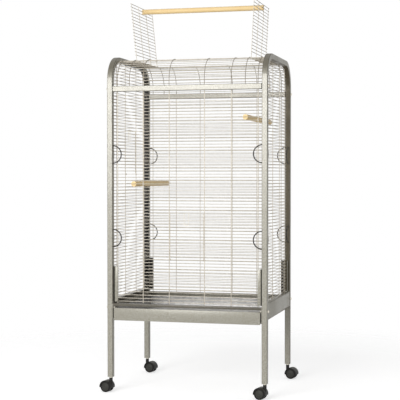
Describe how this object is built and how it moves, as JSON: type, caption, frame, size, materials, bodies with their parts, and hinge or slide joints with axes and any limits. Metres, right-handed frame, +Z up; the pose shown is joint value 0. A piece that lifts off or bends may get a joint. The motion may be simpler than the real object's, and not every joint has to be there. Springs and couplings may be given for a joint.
{
  "type": "aviary cage",
  "caption": "Tall wire bird cage on casters, with arched tube frame, opening roof flaps and play perch, drop-down mesh doors and a sliding litter tray.",
  "frame": {"origin": "on the floor, under the middle of the cage and of its casters' footprint", "axes": "+Z up, -Y towards the front with the litter tray's front and the lower door, +X to the right as one faces the front"},
  "size_m": [0.813, 0.5944, 1.7689],
  "materials": {
    "frame_paint": "hammered grey-green lacquer",
    "mesh_wire": "galvanised",
    "hoop_wire": "dark lacquer",
    "tray_sheet": "galvanised sheet",
    "bright_steel": "zinc plated",
    "plug_plastic": "moulded",
    "caster_plastic": "moulded",
    "wheel_plastic": "moulded",
    "dowel_wood": "bare turned softwood"
  },
  "bodies": {
    "frame": {"caster_sockets": "plug_plastic", "corner_straps": "frame_paint", "cross_tube_plugs": "plug_plastic", "frame_bolts": "bright_steel", "frame_nuts": "bright_steel", "front_cross_tube": "frame_paint", "front_left_leg": "frame_paint", "front_panel": "mesh_wire", "front_rail": "frame_paint", "front_right_leg": "frame_paint", "hoops_front_left": "hoop_wire", "hoops_front_right": "hoop_wire", "hoops_rear_left": "hoop_wire", "hoops_rear_right": "hoop_wire", "left_arch": "frame_paint", "left_panel": "mesh_wire", "left_runner": "frame_paint", "left_skirt": "frame_paint", "leg_plugs": "plug_plastic", "rear_cross_tube": "frame_paint", "rear_left_leg": "frame_paint", "rear_panel": "mesh_wire", "rear_right_leg": "frame_paint", "rear_skirt": "frame_paint", "right_arch": "frame_paint", "right_panel": "mesh_wire", "right_runner": "frame_paint", "right_skirt": "frame_paint", "roof_front_bend": "mesh_wire", "roof_left_mesh": "mesh_wire", "roof_rear_bend": "mesh_wire", "roof_right_mesh": "mesh_wire", "strap_pads": "plug_plastic"},
    "tray": {"tray_pan": "tray_sheet", "tray_front": "frame_paint"},
    "front_door": {"front_door": "mesh_wire"},
    "front_clip": {"front_door_clip": "mesh_wire"},
    "left_door": {"left_door": "mesh_wire"},
    "left_clip": {"left_door_clip": "mesh_wire"},
    "left_flap": {"left_roof_flap": "mesh_wire"},
    "right_flap": {"right_roof_flap": "mesh_wire"},
    "play_perch": {"play_perch": "dowel_wood"},
    "left_perch": {"left_perch": "dowel_wood"},
    "right_perch": {"right_perch": "dowel_wood"},
    "front_left_caster": {"front_left_caster_hood": "caster_plastic", "front_left_caster_pins": "bright_steel"},
    "front_left_wheel_a": {"front_left_caster_wheel_a": "wheel_plastic"},
    "front_left_wheel_b": {"front_left_caster_wheel_b": "wheel_plastic"},
    "front_right_caster": {"front_right_caster_hood": "caster_plastic", "front_right_caster_pins": "bright_steel"},
    "front_right_wheel_a": {"front_right_caster_wheel_a": "wheel_plastic"},
    "front_right_wheel_b": {"front_right_caster_wheel_b": "wheel_plastic"},
    "rear_left_caster": {"rear_left_caster_hood": "caster_plastic", "rear_left_caster_pins": "bright_steel"},
    "rear_left_wheel_a": {"rear_left_caster_wheel_a": "wheel_plastic"},
    "rear_left_wheel_b": {"rear_left_caster_wheel_b": "wheel_plastic"},
    "rear_right_caster": {"rear_right_caster_hood": "caster_plastic", "rear_right_caster_pins": "bright_steel"},
    "rear_right_wheel_a": {"rear_right_caster_wheel_a": "wheel_plastic"},
    "rear_right_wheel_b": {"rear_right_caster_wheel_b": "wheel_plastic"}
  },
  "joints": [
    {"name": "tray_slide", "type": "slide", "parent": "frame", "child": "tray", "axis": [0, -1, 0], "range_m": [0, 0.5]},
    {"name": "front_door_hinge", "type": "hinge", "parent": "frame", "child": "front_door", "pos_m": [0, -0.268, 0.6042], "axis": [1, 0, 0], "range_deg": [0, 130]},
    {"name": "front_clip_hinge", "type": "hinge", "parent": "front_door", "child": "front_clip", "pos_m": [0, -0.274, 0.81], "axis": [-1, 0, 0], "range_deg": [0, 165]},
    {"name": "left_door_hinge", "type": "hinge", "parent": "frame", "child": "left_door", "pos_m": [-0.348, 0, 0.9864], "axis": [0, -1, 0], "range_deg": [0, 130]},
    {"name": "left_clip_hinge", "type": "hinge", "parent": "left_door", "child": "left_clip", "pos_m": [-0.354, 0, 1.1922], "axis": [0, 1, 0], "range_deg": [0, 165]},
    {"name": "left_flap_hinge", "type": "hinge", "parent": "frame", "child": "left_flap", "pos_m": [-0.26599, 0, 1.504], "axis": [0, -1, 0], "range_deg": [0, 65]},
    {"name": "right_flap_hinge", "type": "hinge", "parent": "frame", "child": "right_flap", "pos_m": [0.26599, 0, 1.504], "axis": [0, 1, 0], "range_deg": [0, 65]},
    {"name": "play_perch_slide", "type": "slide", "parent": "frame", "child": "play_perch", "axis": [0, 1, 0], "range_m": [-0.06, 0.018]},
    {"name": "left_perch_slide", "type": "slide", "parent": "frame", "child": "left_perch", "axis": [1, 0, 0], "range_m": [-0.06, 0.028]},
    {"name": "right_perch_slide", "type": "slide", "parent": "frame", "child": "right_perch", "axis": [1, 0, 0], "range_m": [-0.046, 0.04]},
    {"name": "front_left_swivel", "type": "hinge", "parent": "frame", "child": "front_left_caster", "pos_m": [-0.355, -0.275, 0.07], "axis": [0, 0, 1], "continuous": true},
    {"name": "front_left_spin_a", "type": "hinge", "parent": "front_left_caster", "child": "front_left_wheel_a", "pos_m": [-0.3747, -0.27153, 0.025], "axis": [-0.1736, -0.9848, 0], "continuous": true},
    {"name": "front_left_spin_b", "type": "hinge", "parent": "front_left_caster", "child": "front_left_wheel_b", "pos_m": [-0.3747, -0.27153, 0.025], "axis": [-0.1736, -0.9848, 0], "continuous": true},
    {"name": "front_right_swivel", "type": "hinge", "parent": "frame", "child": "front_right_caster", "pos_m": [0.355, -0.275, 0.07], "axis": [0, 0, 1], "continuous": true},
    {"name": "front_right_spin_a", "type": "hinge", "parent": "front_right_caster", "child": "front_right_wheel_a", "pos_m": [0.3353, -0.27153, 0.025], "axis": [-0.1736, -0.9848, 0], "continuous": true},
    {"name": "front_right_spin_b", "type": "hinge", "parent": "front_right_caster", "child": "front_right_wheel_b", "pos_m": [0.3353, -0.27153, 0.025], "axis": [-0.1736, -0.9848, 0], "continuous": true},
    {"name": "rear_left_swivel", "type": "hinge", "parent": "frame", "child": "rear_left_caster", "pos_m": [-0.355, 0.275, 0.07], "axis": [0, 0, 1], "continuous": true},
    {"name": "rear_left_spin_a", "type": "hinge", "parent": "rear_left_caster", "child": "rear_left_wheel_a", "pos_m": [-0.3353, 0.27153, 0.025], "axis": [0.1736, 0.9848, 0], "continuous": true},
    {"name": "rear_left_spin_b", "type": "hinge", "parent": "rear_left_caster", "child": "rear_left_wheel_b", "pos_m": [-0.3353, 0.27153, 0.025], "axis": [0.1736, 0.9848, 0], "continuous": true},
    {"name": "rear_right_swivel", "type": "hinge", "parent": "frame", "child": "rear_right_caster", "pos_m": [0.355, 0.275, 0.07], "axis": [0, 0, 1], "continuous": true},
    {"name": "rear_right_spin_a", "type": "hinge", "parent": "rear_right_caster", "child": "rear_right_wheel_a", "pos_m": [0.3747, 0.27153, 0.025], "axis": [0.1736, 0.9848, 0], "continuous": true},
    {"name": "rear_right_spin_b", "type": "hinge", "parent": "rear_right_caster", "child": "rear_right_wheel_b", "pos_m": [0.3747, 0.27153, 0.025], "axis": [0.1736, 0.9848, 0], "continuous": true}
  ]
}
